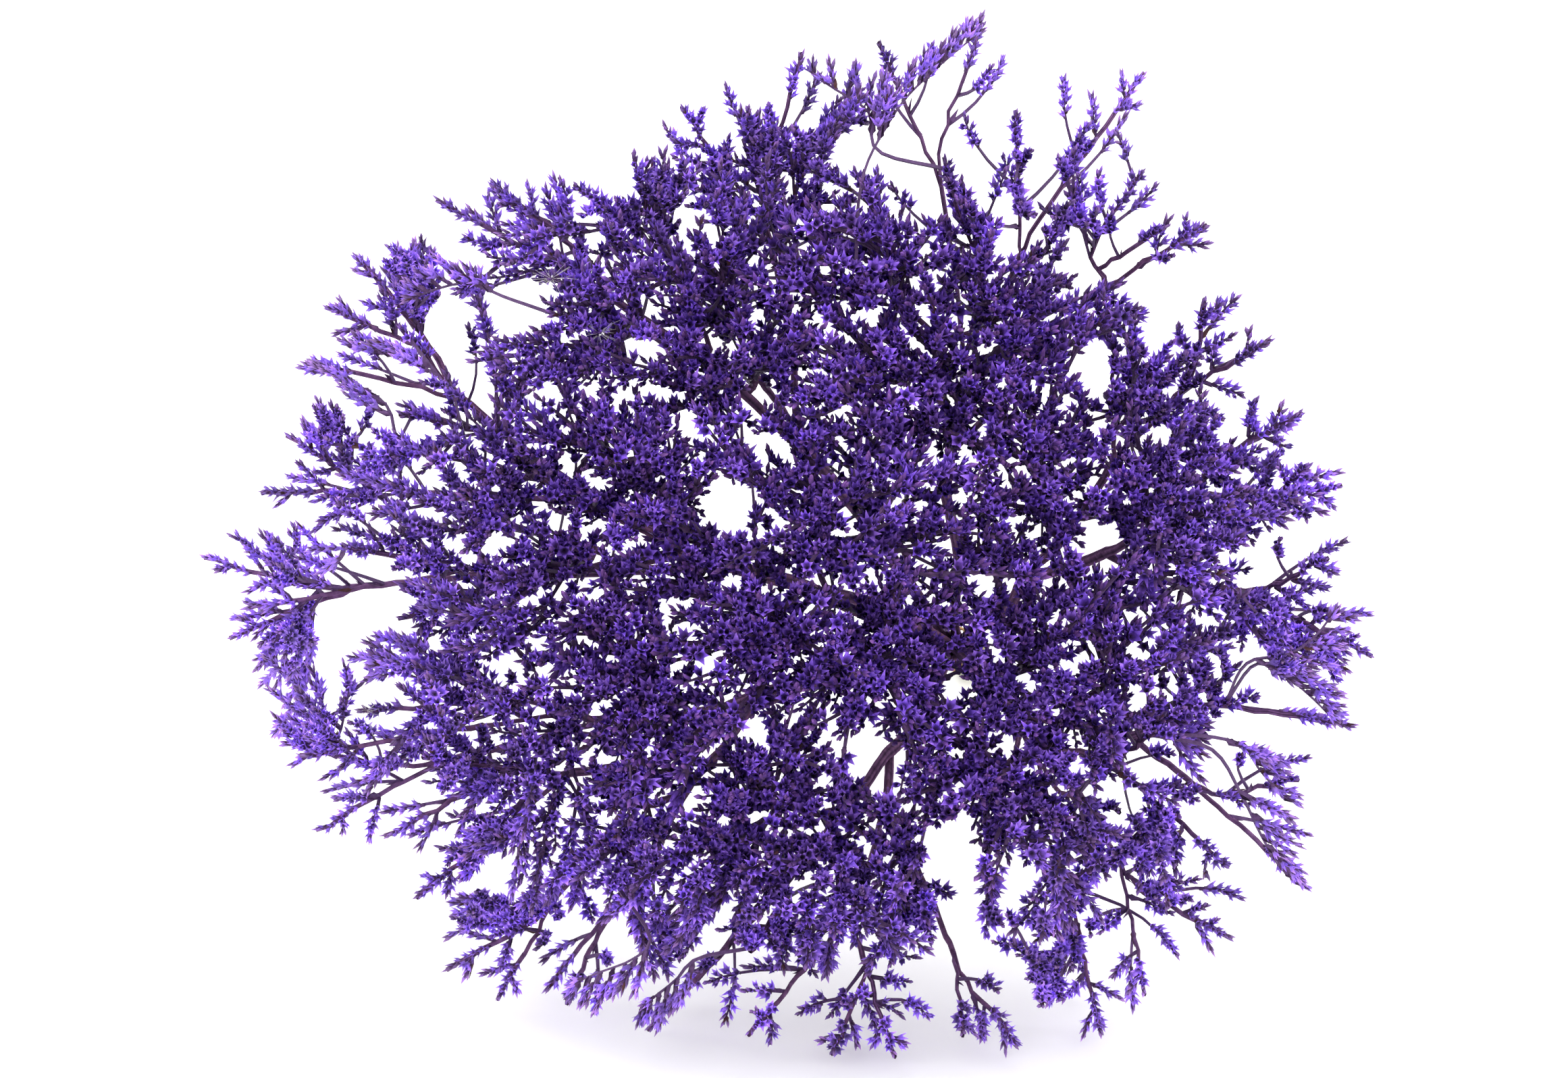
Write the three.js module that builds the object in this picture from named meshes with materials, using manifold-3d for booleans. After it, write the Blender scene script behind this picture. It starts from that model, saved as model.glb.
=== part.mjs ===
// A bunch of dried, dyed statice (Goniolimon tataricum) on a table: eight flowering stems in a rubber band.
// Each stem is a bare scape that forks in two again and again towards one broad, domed head. Every last fork
// ends in a spray of stiff, papery calyces, each a small funnel with five sharp points. The calyces are drawn
// larger than life, so that three of them stand for each spray. The bunch rests on the lowest sprays of its
// head and on the cut ends of its stems.
// Millimetres, +Z up, +Y towards the cut ends, origin on the table under the middle of the bunch.

import * as THREE from "three";
import { mergeVertices } from "three/addons/utils/BufferGeometryUtils.js";
import Module from "manifold-3d";

// How the bunch lies. Its points are laid out as (across, up, back) from the middle of its front face.
const HEAD_TURN = 8; // degrees from +Y to the line square to the head's face, about +Z
const HEAD_TILT = 16; // degrees by which that line slopes down towards the cut ends
const CUT_END = new THREE.Vector3(80, -51, 490); // middle of the cut ends
const TABLE = -184; // height of the table against the middle of the face

// The domed head
const HEAD_RADIUS = 172;
const HEAD_SAG = 90; // the rim lies this far behind the middle
const LAYERS = [10, 30, 52]; // spray tips stand this far behind the face
const INNER_SPRAYS = 84;
const INNER_SPACING = 15.9;
const INNER_STRETCH = new THREE.Vector2(1.06, 0.96); // the head is a little wider than it is tall
const INNER_LAYERS = [0, 1, 0, 2, 1]; // which layer each of five inner sprays in turn belongs to
const GOLDEN_ANGLE = 137.508;
const CLEAR_OF_OUTER = 18; // least distance between an inner spray and an outer one

// Tips of the outermost sprays, (across, up), clockwise from the top, before the rim's spread widens them.
const RIM_SPREAD = 1.08;
const OUTER_SPRAYS = [
  [61, 159], [111, 144], [68, 128], [107, 111], [46, 113], [113, 92],
  [131, 88], [122, 72], [144, 59], [153, 38], [154, 22], [166, 16],
  [160, -5], [176, -36], [167, -54], [152, -70], [154, -102], [131, -97],
  [134, -119], [106, -136], [94, -153], [70, -155], [52, -146], [33, -153],
  [13, -156], [-12, -146], [-42, -146], [-65, -139], [-87, -140], [-104, -131],
  [-112, -109], [-122, -90], [-145, -90], [-150, -66], [-157, -56], [-174, -32],
  [-168, -22], [-184, -5], [-163, 14], [-154, 33], [-148, 55], [-143, 72],
  [-133, 89], [-108, 104], [-90, 109], [-64, 106], [-45, 116], [-32, 130],
  [6, 148], [27, 151],
];

// Tips of the sprays that hang down to the table behind the rim, (across, up, back).
const LOW_SPRAYS = [[-80, -153, 126], [-42, -160, 112]];

// Gaps between the inner sprays, (across, up, radius) where they show to an eye in front of the face.
const EYE_DISTANCE = 1200;
const GAP_EDGE = 4; // a spray's tip stands at least this far out of every gap
const GAPS = [
  [130, -87, 9], [132, -72, 5], [60, -132, 9], [52, -119, 5], [48, -101, 4], [68, -103, 4],
  [26, -67, 6], [36, 115, 8], [21, 115, 4], [42, 101, 4], [61, 103, 5], [77, 105, 4],
  [68, 89, 4], [91, 81, 5], [99, 86, 5], [115, 63, 5], [130, 50, 4], [-99, 61, 8],
  [-110, 45, 6], [-121, 48, 5], [-92, 45, 4], [-132, -24, 7], [-122, -12, 4], [-114, -74, 4],
  [149, -48, 6], [141, -42, 5], [95, -2, 4], [138, -9, 4], [-16, 9, 5], [-4, 26, 4],
  [-86, -100, 4],
];

// Stems: one near the middle and seven round it, pinched together at the tie.
const RING_STEMS = 7;
const FIRST_STEM = 0.25; // the first stem of the ring is turned by this share of a step
const MIDDLE_STEM = new THREE.Vector2(9, -8); // where the middle stem reaches the head
const HEAD_RING = 98; // radius of the ring of stems where they reach the head
const HEAD_RING_BACK = 60; // and how far back that is
const TIE_RING = 5.4; // radius of the ring of stems at the tie
const TIE_BACK = 400; // where the stems start to spread
const STEM_RADIUS = 2.15; // scapes, and no branch is thicker
const TWIG_RADIUS = 0.75;
const GIRTH_POWER = 0.42; // a branch that carries n sprays is n to this power times as thick as a twig
const CUT_SPREAD = 12; // the cut ends are uneven by this much

// Forks
const FORK_BASE = 14; // a fork lies this far behind the middle of what it carries
const FORK_RATE = 1.15; // and further by this share of the width of what it carries
const FORK_LEAST = 44;
const FAN_BACK = 200; // branches fan out from a point of their stem this far behind the face
const SIDE_SWING = 0.7; // branches swing out first and forwards later
const FORWARD_SWING = 0.4;
const SIDE_ROOT = 0.85; // a side branch is rooted this share of the way from the last bend to the fork
const ROOT_TAPER = 2.7; // a branch grows from a point in its parent and is full this many radii on

// Calyces, larger than life, with their other sizes as shares of the radius at their points
const CALYX = 8.2;
const CALYX_DEPTH = 0.72;
const NOTCH_RADIUS = 0.46;
const NOTCH_DEPTH = 0.5;
const CUP_FLOOR = 0.28;
const CALYX_POINTS = 5;
const CALYX_LOW = 4.8; // a calyx this high above the table presses on it with its lowest points
const SIDE_ANGLE = 40; // degrees between a side calyx and its spray
const ANGLE_PLAY = 6; // and how far that varies
const SIDE_STALKS = [[0.3, 0.5], [0.46, 0.42]]; // root along the spray, and length, as shares of its length
const SIDE_ROOM = 1.9 * CALYX; // a side calyx is left out where others stand nearer than this
const SHARE_MARGIN = CALYX + 1.2; // keeps the calyces of one stem clear of the next stem's
const EVEN = 1e-6; // of two choices that differ by less than this, the first is taken

// The rubber band
const BAND_BACK = 414;
const BAND_GAP = 0.3;
const BAND_THICK = 1.3;
const BAND_WIDTH = 8;
const BAND_SIDES = 24;

const wasm = await Module();
wasm.setup();

// The next number of a seeded row, between low and high.
let seed = 11;
function draw(low, high) {
  seed = (Math.imul(seed, 1664525) + 1013904223) >>> 0;
  return low + ((high - low) * seed) / 2 ** 32;
}

// The bunch's own directions in the part's frame.
const turn = THREE.MathUtils.degToRad(HEAD_TURN);
const tilt = THREE.MathUtils.degToRad(HEAD_TILT);
const ACROSS = new THREE.Vector3(Math.cos(turn), Math.sin(turn), 0);
const BACK = new THREE.Vector3(-Math.sin(turn), Math.cos(turn), -Math.tan(tilt)).normalize();
const UP = new THREE.Vector3().crossVectors(ACROSS, BACK);

// A point of the bunch in the part's frame.
function place(p) {
  return new THREE.Vector3()
    .addScaledVector(ACROSS, p.x)
    .addScaledVector(UP, p.y)
    .addScaledVector(BACK, p.z);
}

// A spray's tip on the dome, whose rim leans so that it is square to the line down to the cut ends.
function domePoint(across, up, layer) {
  const rim = (across * across + up * up) / (HEAD_RADIUS * HEAD_RADIUS);
  const lean = -(across * CUT_END.x + up * CUT_END.y) / CUT_END.z;
  return new THREE.Vector3(across, up, layer + HEAD_SAG * rim + lean);
}

// Lifts a point of the head so that a calyx there just presses on the table.
function liftOff(p) {
  const rise = TABLE + CALYX_LOW - place(p).z;
  if (rise <= 0) return p;
  return p.clone().add(new THREE.Vector3(rise * ACROSS.z, rise * UP.z, rise * BACK.z));
}

// Whether a spray's tip would close one of the gaps.
function inGap(p) {
  const shrink = EYE_DISTANCE / (EYE_DISTANCE + p.z);
  return GAPS.some(([x, y, radius]) => Math.hypot(p.x * shrink - x, p.y * shrink - y) < radius + GAP_EDGE);
}

// The outer and low sprays, and the inner ones in a sunflower's spiral that leaves the gaps open.
function sprayTips() {
  const outer = OUTER_SPRAYS.map(([x, y]) => domePoint(x * RIM_SPREAD, y * RIM_SPREAD, LAYERS[0]));
  const tips = [...outer, ...LOW_SPRAYS.map((p) => new THREE.Vector3(...p))];
  for (let k = 0; k < INNER_SPRAYS; k++) {
    const angle = THREE.MathUtils.degToRad(k * GOLDEN_ANGLE);
    const reach = INNER_SPACING * Math.sqrt(k + 0.5);
    const across = INNER_STRETCH.x * reach * Math.cos(angle);
    const up = INNER_STRETCH.y * reach * Math.sin(angle);
    const tip = domePoint(across, up, LAYERS[INNER_LAYERS[k % INNER_LAYERS.length]]);
    const crowded = outer.some((other) => Math.hypot(across - other.x, up - other.y) < CLEAR_OF_OUTER);
    if (!inGap(tip) && !crowded) tips.push(tip);
  }
  return tips.map(liftOff);
}

// Where each stem reaches the head, (across, up) from the line down to the cut ends.
const stems = [MIDDLE_STEM];
for (let k = 0; k < RING_STEMS; k++) {
  const angle = (2 * Math.PI * (k + FIRST_STEM)) / RING_STEMS;
  stems.push(new THREE.Vector2(Math.cos(angle), Math.sin(angle)).multiplyScalar(HEAD_RING));
}

// The middle of a stem's share of the bunch, at a distance behind the face.
function stemPoint(stem, back) {
  const pinched = Math.min(1, (back - HEAD_RING_BACK) / (TIE_BACK - HEAD_RING_BACK));
  const spread = THREE.MathUtils.lerp(1, TIE_RING / HEAD_RING, pinched);
  const middle = CUT_END.clone().multiplyScalar(back / CUT_END.z);
  return middle.add(new THREE.Vector3(stems[stem].x * spread, stems[stem].y * spread, 0));
}

// The stem whose share of the bunch holds a point.
function stemOf(p) {
  const reach = stems.map((_, stem) => p.distanceTo(stemPoint(stem, p.z)));
  return reach.indexOf(Math.min(...reach));
}

// Moves a point sideways, in three passes, until it is well inside its stem's share of the bunch.
function keepInShare(p, stem) {
  const kept = p.clone();
  for (let pass = 0; pass < 3; pass++) {
    stems.forEach((_, other) => {
      if (other === stem) return;
      const here = stemPoint(stem, kept.z);
      const there = stemPoint(other, kept.z);
      const out = there.clone().sub(here).normalize();
      const past = kept.clone().sub(here.lerp(there, 0.5)).dot(out) + SHARE_MARGIN;
      if (past > 0) kept.addScaledVector(out, -past);
    });
  }
  return kept;
}

// The direction across the face, of four, in which tips reach furthest, and how far that is.
function widestOf(tips) {
  let widest = { width: -1 };
  for (let k = 0; k < 4; k++) {
    const side = new THREE.Vector3(Math.cos((k * Math.PI) / 4), Math.sin((k * Math.PI) / 4), 0);
    const reach = tips.map((tip) => tip.dot(side));
    const width = Math.max(...reach) - Math.min(...reach);
    if (width > widest.width + EVEN) widest = { width, side };
  }
  return widest;
}

// Halves the tips across their widest direction until each is alone, with a fork behind every group.
function treeOf(tips, root) {
  if (tips.length === 1) return { at: tips[0], carries: 1, kids: [] };
  const { width, side } = widestOf(tips);
  const sorted = [...tips].sort((a, b) => a.dot(side) - b.dot(side));
  const centre = new THREE.Vector3();
  tips.forEach((tip) => centre.addScaledVector(tip, 1 / tips.length));
  const behind = Math.max(FORK_LEAST, FORK_BASE + FORK_RATE * width);
  const at = centre.clone().addScaledVector(root.clone().sub(centre).normalize(), behind);
  const half = sorted.length >> 1;
  const kids = [treeOf(sorted.slice(half), root), treeOf(sorted.slice(0, half), root)];
  return { at, carries: tips.length, kids };
}

// The middle of the curve in which a branch swings out and then forwards.
function bendOf(from, to) {
  const forward = CUT_END.clone().normalize().negate();
  const reach = to.clone().sub(from);
  const ahead = forward.clone().multiplyScalar(reach.dot(forward));
  const aside = reach.sub(ahead);
  const control = from.clone().addScaledVector(aside, SIDE_SWING).addScaledVector(ahead, FORWARD_SWING);
  return new THREE.QuadraticBezierCurve3(from, control, to).getPoint(0.5);
}

function girth(carries) {
  return Math.min(STEM_RADIUS, TWIG_RADIUS * carries ** GIRTH_POWER);
}

// Two unit vectors square to an axis, the first as near as can be to a given side.
function squareTo(axis, side) {
  const first = side.clone().addScaledVector(axis, -side.dot(axis)).normalize();
  return [first, new THREE.Vector3().crossVectors(axis, first)];
}

// A ring of points round an axis, each at its own radius and its own lift along the axis.
function ring(centre, axis, radii, lifts = [0]) {
  const [x, y] = squareTo(axis, UP);
  return radii.map((radius, k) => {
    const angle = (2 * Math.PI * k) / radii.length;
    return centre.clone()
      .addScaledVector(x, radius * Math.cos(angle))
      .addScaledVector(y, radius * Math.sin(angle))
      .addScaledVector(axis, lifts[k % lifts.length]);
  });
}

// The triangles between two rings that start at given point numbers, taken in turn from the one that lags.
function skinBetween(first, m, next, n) {
  const faces = [];
  let [i, j] = [0, 0];
  while (i < m || j < n) {
    if (j < n && (i >= m || (j + 0.5) / n <= (i + 0.5) / m)) {
      if (n > 1) faces.push(first + (i % m), next + ((j + 1) % n), next + j);
      j++;
    } else {
      if (m > 1) faces.push(first + i, first + ((i + 1) % m), next + (j % n));
      i++;
    }
  }
  return faces;
}

// One closed skin over rings of any number of points, of which the first and the last are single points.
function loft(rings) {
  const faces = [];
  let first = 0;
  for (let k = 0; k + 1 < rings.length; k++) {
    const next = first + rings[k].length;
    faces.push(...skinBetween(first, rings[k].length, next, rings[k + 1].length));
    first = next;
  }
  const geometry = new THREE.BufferGeometry();
  const positions = rings.flat().flatMap((p) => [p.x, p.y, p.z]);
  geometry.setAttribute("position", new THREE.Float32BufferAttribute(positions, 3));
  geometry.setIndex(faces);
  return geometry;
}

// A geometry as a solid that can be joined and cut.
function solidOf(geometry) {
  geometry.deleteAttribute("normal");
  geometry.deleteAttribute("uv");
  const merged = mergeVertices(geometry, 1e-4);
  return new wasm.Manifold(
    new wasm.Mesh({
      numProp: 3,
      vertProperties: new Float32Array(merged.attributes.position.array),
      triVerts: new Uint32Array(merged.index.array),
    }),
  );
}

// The rings of a calyx whose points reach as far as its tip: throat, rim of points and notches, and floor.
function calyxRings(tip, axis) {
  const throat = tip.clone().addScaledVector(axis, -CALYX_DEPTH * CALYX);
  const floor = throat.clone().addScaledVector(axis, CUP_FLOOR * CALYX);
  const radii = [];
  for (let k = 0; k < CALYX_POINTS; k++) radii.push(CALYX, NOTCH_RADIUS * CALYX);
  const rim = ring(throat, axis, radii, [CALYX_DEPTH * CALYX, NOTCH_DEPTH * CALYX]);
  return [ring(throat, axis, new Array(3).fill(TWIG_RADIUS)), rim, [floor]];
}

// How many sides a branch of a radius has.
function sidesOf(radius) {
  if (radius > STEM_RADIUS * 0.95) return 6;
  return radius > TWIG_RADIUS * 1.4 ? 4 : 3;
}

// A branch that tapers through points of the bunch and ends in a calyx. It starts as a point inside its
// parent, or flat, at a cut end.
function branch(path, radii, taper) {
  const points = path.map(place);
  const tip = points.pop();
  const rings = points.map((p, k) => {
    const axis = (points[k + 1] ?? tip).clone().sub(points[k - 1] ?? p).normalize();
    const centre = k ? p : p.clone().addScaledVector(axis, taper * radii[k]);
    return ring(centre, axis, new Array(sidesOf(radii[k])).fill(radii[k]));
  });
  const last = tip.clone().sub(points[points.length - 1]).normalize();
  return solidOf(loft([[points[0]], ...rings, ...calyxRings(tip, last)]));
}

// A calyx on a side stalk, in whichever of three directions keeps it furthest from the others.
function sideCalyx(root, axis, length, stem) {
  const [x, y] = squareTo(axis, new THREE.Vector3(0, 1, 0.2));
  const lean = THREE.MathUtils.degToRad(SIDE_ANGLE + draw(-ANGLE_PLAY, ANGLE_PLAY));
  let best = { room: -1 };
  for (let k = 0; k < 3; k++) {
    const round = ((2 * k + 1) * Math.PI) / 3;
    const side = x.clone().multiplyScalar(Math.cos(round)).addScaledVector(y, Math.sin(round));
    const out = axis.clone().multiplyScalar(Math.cos(lean)).addScaledVector(side, Math.sin(lean));
    const tip = liftOff(keepInShare(root.clone().addScaledVector(out, length), stem));
    const room = Math.min(...calyxTips.map((other) => other.distanceTo(tip)));
    if (room > best.room + EVEN) best = { room, tip };
  }
  if (best.room < SIDE_ROOM) return [];
  calyxTips.push(best.tip);
  return [branch([root, best.tip], [TWIG_RADIUS], ROOT_TAPER)];
}

// The side calyces of the spray between the last fork and its tip.
function sideCalyces(fork, tip, stem) {
  const axis = tip.clone().sub(fork).normalize();
  const length = tip.distanceTo(fork);
  return SIDE_STALKS.flatMap(([rootShare, lengthShare]) => {
    const root = fork.clone().lerp(tip, rootShare);
    return sideCalyx(root, axis, length * lengthShare, stem);
  });
}

// Grows a branch on to a tip through the heavier kid of every fork, with the lighter kids rooted in it.
function growOn(path, radii, node, stem, taper = ROOT_TAPER) {
  const aside = [];
  let [from, to] = [path[path.length - 1], node];
  while (to.kids.length) {
    const bend = bendOf(from, to.at);
    const root = bend.clone().lerp(to.at, SIDE_ROOT);
    path.push(bend, to.at);
    radii.push(girth(to.carries), girth(to.kids[0].carries));
    aside.push(...growOn([root], [girth(to.kids[1].carries)], to.kids[1], stem));
    [from, to] = [to.at, to.kids[0]];
  }
  return [branch([...path, to.at], radii, taper), ...sideCalyces(from, to.at, stem), ...aside];
}

// The largest of the closed skins of a solid, without loose scraps.
function wholeOf(solid) {
  return solid.decompose().reduce((best, piece) => (piece.volume() > best.volume() ? piece : best));
}

// A flowering stem: its scape runs straight from the cut end to the tie, and on into its heaviest branches.
function growStem(tips, stem) {
  const tie = stemPoint(stem, TIE_BACK);
  const cut = stemPoint(stem, cutBacks[stem]);
  const tree = treeOf(tips.map((tip) => keepInShare(tip, stem)), stemPoint(stem, FAN_BACK));
  const branches = growOn([cut, tie], [STEM_RADIUS, STEM_RADIUS], tree, stem, 0);
  return wholeOf(branches.reduce((whole, piece) => whole.add(piece)));
}

// Everything below the table's top.
function tableSolid() {
  const size = 2000;
  const box = new THREE.BoxGeometry(size, size, size);
  box.translate(0, 0, TABLE - size / 2);
  return solidOf(box);
}

function meshOf(name, solid, material) {
  const { vertProperties, triVerts } = solid.getMesh();
  const geometry = new THREE.BufferGeometry();
  geometry.setAttribute("position", new THREE.BufferAttribute(vertProperties, 3));
  geometry.setIndex(new THREE.BufferAttribute(triVerts, 1));
  geometry.computeVertexNormals();
  const mesh = new THREE.Mesh(geometry, material);
  mesh.name = name;
  return mesh;
}

// A flat rubber ring round the stems, square to them.
function rubberBand() {
  const inner = TIE_RING + STEM_RADIUS + BAND_GAP;
  const profile = [
    new THREE.Vector2(inner, -BAND_WIDTH / 2),
    new THREE.Vector2(inner + BAND_THICK, -BAND_WIDTH / 2),
    new THREE.Vector2(inner + BAND_THICK, BAND_WIDTH / 2),
    new THREE.Vector2(inner, BAND_WIDTH / 2),
    new THREE.Vector2(inner, -BAND_WIDTH / 2),
  ];
  const material = new THREE.MeshStandardMaterial({ color: 0xb98d5c, roughness: 0.6, metalness: 0 });
  const band = new THREE.Mesh(new THREE.LatheGeometry(profile, BAND_SIDES), material);
  band.name = "rubber_band";
  band.position.copy(place(CUT_END).multiplyScalar(BAND_BACK / CUT_END.z));
  band.quaternion.setFromUnitVectors(new THREE.Vector3(0, 1, 0), place(CUT_END).normalize());
  return band;
}

const cutBacks = stems.map(() => CUT_END.z - draw(0, CUT_SPREAD));
const calyxTips = sprayTips();
const shares = stems.map(() => []);
calyxTips.forEach((tip) => shares[stemOf(tip)].push(tip));

const table = tableSolid();
const bunch = new THREE.Group();
shares.forEach((tips, stem) => {
  const material = new THREE.MeshStandardMaterial({ color: 0x3d1f8f, roughness: 0.7, metalness: 0 });
  bunch.add(meshOf(`stem_${stem + 1}`, wholeOf(growStem(tips, stem).subtract(table)), material));
});
bunch.add(rubberBand());

// Moves the bunch so that the origin is on the table under its middle.
const middle = new THREE.Box3().setFromObject(bunch, true).getCenter(new THREE.Vector3());
bunch.position.set(-middle.x, -middle.y, -TABLE);

export default bunch;
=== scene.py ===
import math

import bpy
import numpy as np
from mathutils import Matrix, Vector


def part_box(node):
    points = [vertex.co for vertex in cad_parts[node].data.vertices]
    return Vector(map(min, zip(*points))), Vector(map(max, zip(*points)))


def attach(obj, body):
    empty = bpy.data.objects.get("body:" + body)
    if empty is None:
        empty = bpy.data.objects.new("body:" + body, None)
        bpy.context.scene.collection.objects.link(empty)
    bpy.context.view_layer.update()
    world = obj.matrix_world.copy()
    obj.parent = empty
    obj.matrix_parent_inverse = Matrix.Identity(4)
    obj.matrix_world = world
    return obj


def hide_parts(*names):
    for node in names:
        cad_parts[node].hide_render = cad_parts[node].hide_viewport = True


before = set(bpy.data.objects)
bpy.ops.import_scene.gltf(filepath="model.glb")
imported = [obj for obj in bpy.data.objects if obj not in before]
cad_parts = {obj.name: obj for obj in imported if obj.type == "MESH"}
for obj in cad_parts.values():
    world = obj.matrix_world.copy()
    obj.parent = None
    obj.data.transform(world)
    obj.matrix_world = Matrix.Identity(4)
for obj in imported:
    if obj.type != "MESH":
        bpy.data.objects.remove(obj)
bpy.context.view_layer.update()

# How the bunch lies. It rests on the lowest sprays of its head and on its cut ends, so its middle line
# slopes down to the back. Its points are laid out in millimetres, as (across, up, back) from the middle of
# the head's face, and the band round the stems tells where that is in the frame.
MM = 0.001
HEAD_TURN = math.radians(8)
HEAD_TILT = math.radians(16)
CUT_END = np.array([80.0, -51.0, 490.0])
BAND_BACK = 414.0
TABLE = -184.0


def unit(vectors):
    return vectors / np.linalg.norm(vectors, axis=-1, keepdims=True)


ACROSS = np.array([math.cos(HEAD_TURN), math.sin(HEAD_TURN), 0.0])
BACK = unit(np.array([-math.sin(HEAD_TURN), math.cos(HEAD_TURN), -math.tan(HEAD_TILT)]))
UP = np.cross(ACROSS, BACK)
DIRECTIONS = np.array([ACROSS, UP, BACK])
BAND_MIDDLE = np.mean([np.array(corner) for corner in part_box("rubber_band")], axis=0)
FACE = BAND_MIDDLE - MM * BAND_BACK / CUT_END[2] * (CUT_END @ DIRECTIONS)


def in_frame(points):
    """Points of the bunch, in millimetres, as points of the frame, in metres."""
    return FACE + MM * (np.asarray(points) @ DIRECTIONS)


# The camera looks square at the face of the head, from a little above and a little to the right.
VIEW_DISTANCE = 1200.0
VIEW_WIDTH = 464.0
SENSOR_WIDTH = 36.0

camera_data = bpy.data.cameras.new("camera")
camera_data.sensor_width = SENSOR_WIDTH
camera_data.lens = SENSOR_WIDTH * VIEW_DISTANCE / VIEW_WIDTH
camera = bpy.data.objects.new("camera", camera_data)
bpy.context.scene.collection.objects.link(camera)
looking = np.eye(4)
looking[:3, 0] = ACROSS
looking[:3, 1] = UP
looking[:3, 2] = -BACK
looking[:3, 3] = in_frame([0.0, 0.0, -VIEW_DISTANCE])
camera.matrix_world = Matrix(looking.tolist())
bpy.context.scene.camera = camera

# The flowering stems. Each of the eight is a stiff scape of dried, dyed wood, which forks in two again and
# again on its way to the head. Their ends are cut, and the dye has not reached the last few centimetres of
# them. The forks grow by the same rule and from the same seed as those of the solids.
HEAD_RADIUS = 172.0
HEAD_SAG = 90.0
LAYERS = [10.0, 30.0, 52.0]
INNER_SPRAYS = 84
INNER_SPACING = 15.9
INNER_STRETCH = (1.06, 0.96)
INNER_LAYERS = [0, 1, 0, 2, 1]
GOLDEN_ANGLE = math.radians(137.508)
CLEAR_OF_OUTER = 18.0
RIM_SPREAD = 1.08

# The tips of the outermost sprays, (across, up), clockwise from the top, before the rim's spread widens them,
# and those of the sprays that hang down to the table behind the rim, (across, up, back).
OUTER_SPRAYS = [
    (61, 159), (111, 144), (68, 128), (107, 111), (46, 113), (113, 92),
    (131, 88), (122, 72), (144, 59), (153, 38), (154, 22), (166, 16),
    (160, -5), (176, -36), (167, -54), (152, -70), (154, -102), (131, -97),
    (134, -119), (106, -136), (94, -153), (70, -155), (52, -146), (33, -153),
    (13, -156), (-12, -146), (-42, -146), (-65, -139), (-87, -140), (-104, -131),
    (-112, -109), (-122, -90), (-145, -90), (-150, -66), (-157, -56), (-174, -32),
    (-168, -22), (-184, -5), (-163, 14), (-154, 33), (-148, 55), (-143, 72),
    (-133, 89), (-108, 104), (-90, 109), (-64, 106), (-45, 116), (-32, 130),
    (6, 148), (27, 151),
]
LOW_SPRAYS = [(-80, -153, 126), (-42, -160, 112)]

# Gaps through the head, (across, up, radius) where they show from the front. All but the last three are the
# rounded output of a measuring program, not a choice made by hand.
GAPS = [
    (130, -87, 9), (132, -72, 5), (60, -132, 9), (52, -119, 5), (48, -101, 4), (68, -103, 4),
    (26, -67, 6), (36, 115, 8), (21, 115, 4), (42, 101, 4), (61, 103, 5), (77, 105, 4),
    (68, 89, 4), (91, 81, 5), (99, 86, 5), (115, 63, 5), (130, 50, 4), (-99, 61, 8),
    (-110, 45, 6), (-121, 48, 5), (-92, 45, 4), (-132, -24, 7), (-122, -12, 4), (-114, -74, 4),
    (149, -48, 6), (141, -42, 5), (95, -2, 4), (138, -9, 4), (-16, 9, 5), (-4, 26, 4),
    (-86, -100, 4),
]

# Places of the face where no spike ends, and others where none is left out, chosen from a program's table of
# how full each cell of the face was, so that many stand on the middles of its cells.
BARE = [
    (43, 127, 8), (31, 136, 5), (36, 146, 5), (76, 130, 8), (79, 122, 5), (56, 115, 6),
    (-70, -122, 8), (104, 98, 7), (110, 81, 6), (95, 108, 5), (108, -123, 7), (-109, -80, 6),
    (108, -65, 6), (152, -6, 6), (-109, 36, 5), (-109, 51, 5), (-95, 95, 6), (-54, 112, 6),
    (7, -138, 5), (-22, -125, 5), (50, -137, 7), (50, -94, 5), (137, -79, 5), (-124, -7, 4),
    (-120, -50, 5), (42, 124, 6), (-80, 66, 4), (100, -79, 5), (93, 51, 4),
]
FULL = [
    (17, 118, 7), (22, 132, 5), (-8, 124, 7), (-22, 110, 8), (-36, 108, 8), (-51, 95, 7),
    (-38, 95, 5), (-151, -38, 10), (-148, -54, 9), (-109, -36, 6), (-112, 83, 9), (-138, 36, 7),
    (122, 50, 8), (122, 37, 8), (122, 22, 7), (93, 30, 7), (100, -21, 8), (122, -36, 7),
    (151, 8, 6), (137, -7, 6), (135, 3, 7), (150, -30, 8), (166, -38, 5), (122, -65, 6),
    (108, -94, 7), (115, -105, 6), (-94, -95, 8), (-93, -110, 8), (-37, -123, 8), (79, -138, 4),
]

# Twigs that arch over the rim, each as the places (across, up) that it passes on its way out.
ARCHES = [
    [(22, 100), (24, 110), (30, 122), (36, 131), (44, 139), (59.5, 152.5)],
    [(27, 116), (25, 127), (15, 134), (9, 138)],
    [(126, -62), (136, -76), (142, -88), (149, -99), (154, -103)],
    [(128, -59), (137, -62), (141, -68), (148, -76)],
    [(142, -37), (151, -42), (157, -47), (165, -55)],
    [(139, -36), (151, -34), (160, -27), (165, -20)],
    [(-116, 32), (-117, 37), (-127, 46), (-132, 49), (-141, 50)],
    [(-101, 46), (-105, 51), (-119, 55), (-128, 57)],
    [(-81, 71), (-97, 76), (-105, 74), (-113, 71)],
    [(-40, -121), (-45, -125), (-55, -129), (-64, -133)],
    [(-28, -126), (-32, -131), (-37, -135), (-42, -139)],
]
GAP_EDGE = 4.0

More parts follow.
